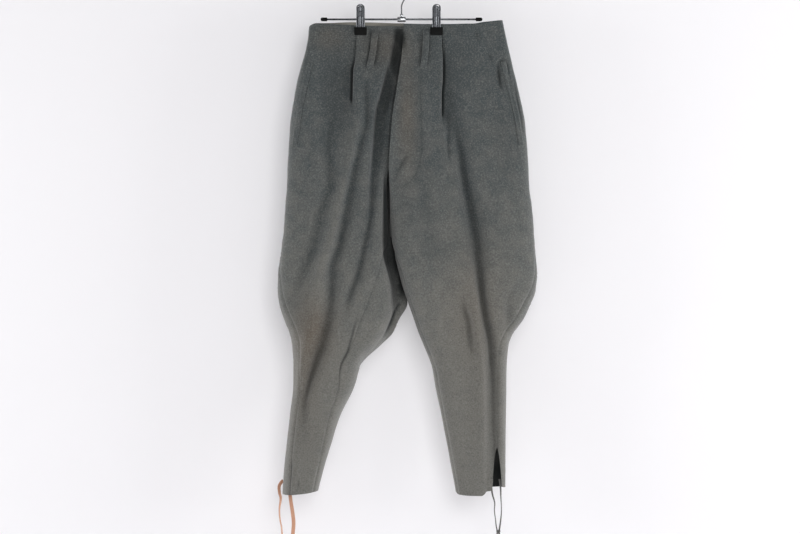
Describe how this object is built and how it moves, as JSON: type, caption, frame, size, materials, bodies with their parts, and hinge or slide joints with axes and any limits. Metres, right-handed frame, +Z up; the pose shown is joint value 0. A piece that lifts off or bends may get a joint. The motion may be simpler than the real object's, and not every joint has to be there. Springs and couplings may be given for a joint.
{
  "type": "military trousers on a clip hanger",
  "caption": "Field-grey wool riding trousers, pleated and flared at the thigh, tapered to slit ankles with ties, hung by the waist from a hooked clip hanger.",
  "frame": {"origin": "the inside top of the hook's loop, where the rail carries it", "axes": "+Z up, the garment's front towards -Y, the wearer's left towards +X"},
  "size_m": [0.5457, 0.0863, 1.2931],
  "materials": {
    "wool": "matt brushed wool",
    "tan_tape": "matt woven cotton",
    "grey_lace": "matt braided cotton",
    "chrome": "bright",
    "black_rubber": "matt"
  },
  "bodies": {
    "root": {"front_left": "wool", "front_right": "wool", "back_left": "wool", "back_right": "wool", "fly_underlap": "wool", "belt_loop_front_left": "wool", "belt_loop_front_right": "wool", "belt_loop_back_left": "wool", "belt_loop_back_right": "wool", "pocket_welt_left": "wool", "pocket_welt_right": "wool", "ankle_tie_right_outer": "tan_tape", "ankle_tie_right_inner": "tan_tape", "ankle_tie_left_front": "grey_lace", "ankle_tie_left_back": "grey_lace", "ankle_tie_knot": "grey_lace", "hanger_rod": "chrome", "hanger_cap_left": "black_rubber", "hanger_cap_right": "black_rubber", "hanger_collar": "chrome", "hanger_socket": "chrome", "hanger_hook": "chrome", "clip_sleeve_right": "chrome", "clip_jaw_front_right": "chrome", "clip_pad_front_right": "black_rubber", "clip_jaw_back_right": "chrome", "clip_pad_back_right": "black_rubber", "clip_sleeve_left": "chrome", "clip_jaw_front_left": "chrome", "clip_pad_front_left": "black_rubber", "clip_jaw_back_left": "chrome", "clip_pad_back_left": "black_rubber"}
  },
  "joints": []
}
